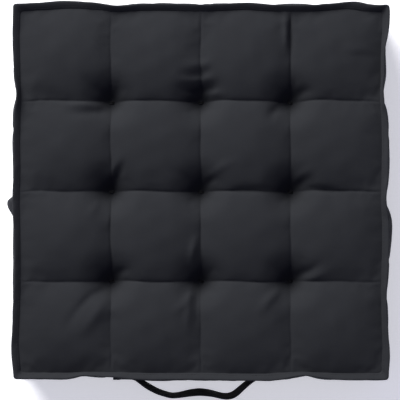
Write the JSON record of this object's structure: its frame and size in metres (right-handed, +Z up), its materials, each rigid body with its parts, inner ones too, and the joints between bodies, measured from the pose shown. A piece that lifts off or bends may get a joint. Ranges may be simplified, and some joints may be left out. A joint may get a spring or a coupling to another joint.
{
  "type": "floor cushion",
  "caption": "Square tufted box cushion in dark plain cloth, with creased pockets, a pinched standing edge round both faces and a webbing carry handle on the front side.",
  "frame": {"origin": "middle of the face the cushion rests on", "axes": "+Z up, +X to the right, -Y towards the front side that carries the handle"},
  "size_m": [0.5, 0.5248, 0.1],
  "materials": {
    "cover_cloth": "plain weave, soft matt",
    "edge_cloth": "doubled plain weave, soft matt",
    "thread": "spun sewing thread",
    "twine": "twisted waxed twine",
    "webbing": "herringbone webbing",
    "fibre_filling": "loose fibre wadding"
  },
  "bodies": {
    "cushion": {"top_panel": "cover_cloth", "bottom_panel": "cover_cloth", "front_boxing": "cover_cloth", "back_boxing": "cover_cloth", "left_boxing": "cover_cloth", "right_boxing": "cover_cloth", "top_edge_flange": "edge_cloth", "bottom_edge_flange": "edge_cloth", "top_edge_thread": "thread", "bottom_edge_thread": "thread", "closing_stitches": "thread", "filling": "fibre_filling", "handle_end_left": "webbing", "handle_end_right": "webbing", "handle_stitches_left": "thread", "handle_stitches_right": "thread", "tuft_tie_1": "twine", "tuft_tie_2": "twine", "tuft_tie_3": "twine", "tuft_tie_4": "twine", "tuft_tie_5": "twine", "tuft_tie_6": "twine", "tuft_tie_7": "twine", "tuft_tie_8": "twine", "tuft_tie_9": "twine"},
    "handle": {"handle_strap": "webbing"}
  },
  "joints": [
    {"name": "handle_swing", "type": "hinge", "parent": "cushion", "child": "handle", "pos_m": [-0.008, -0.2528, 0.05], "axis": [-1, 0, 0], "range_deg": [-60, 60]}
  ]
}
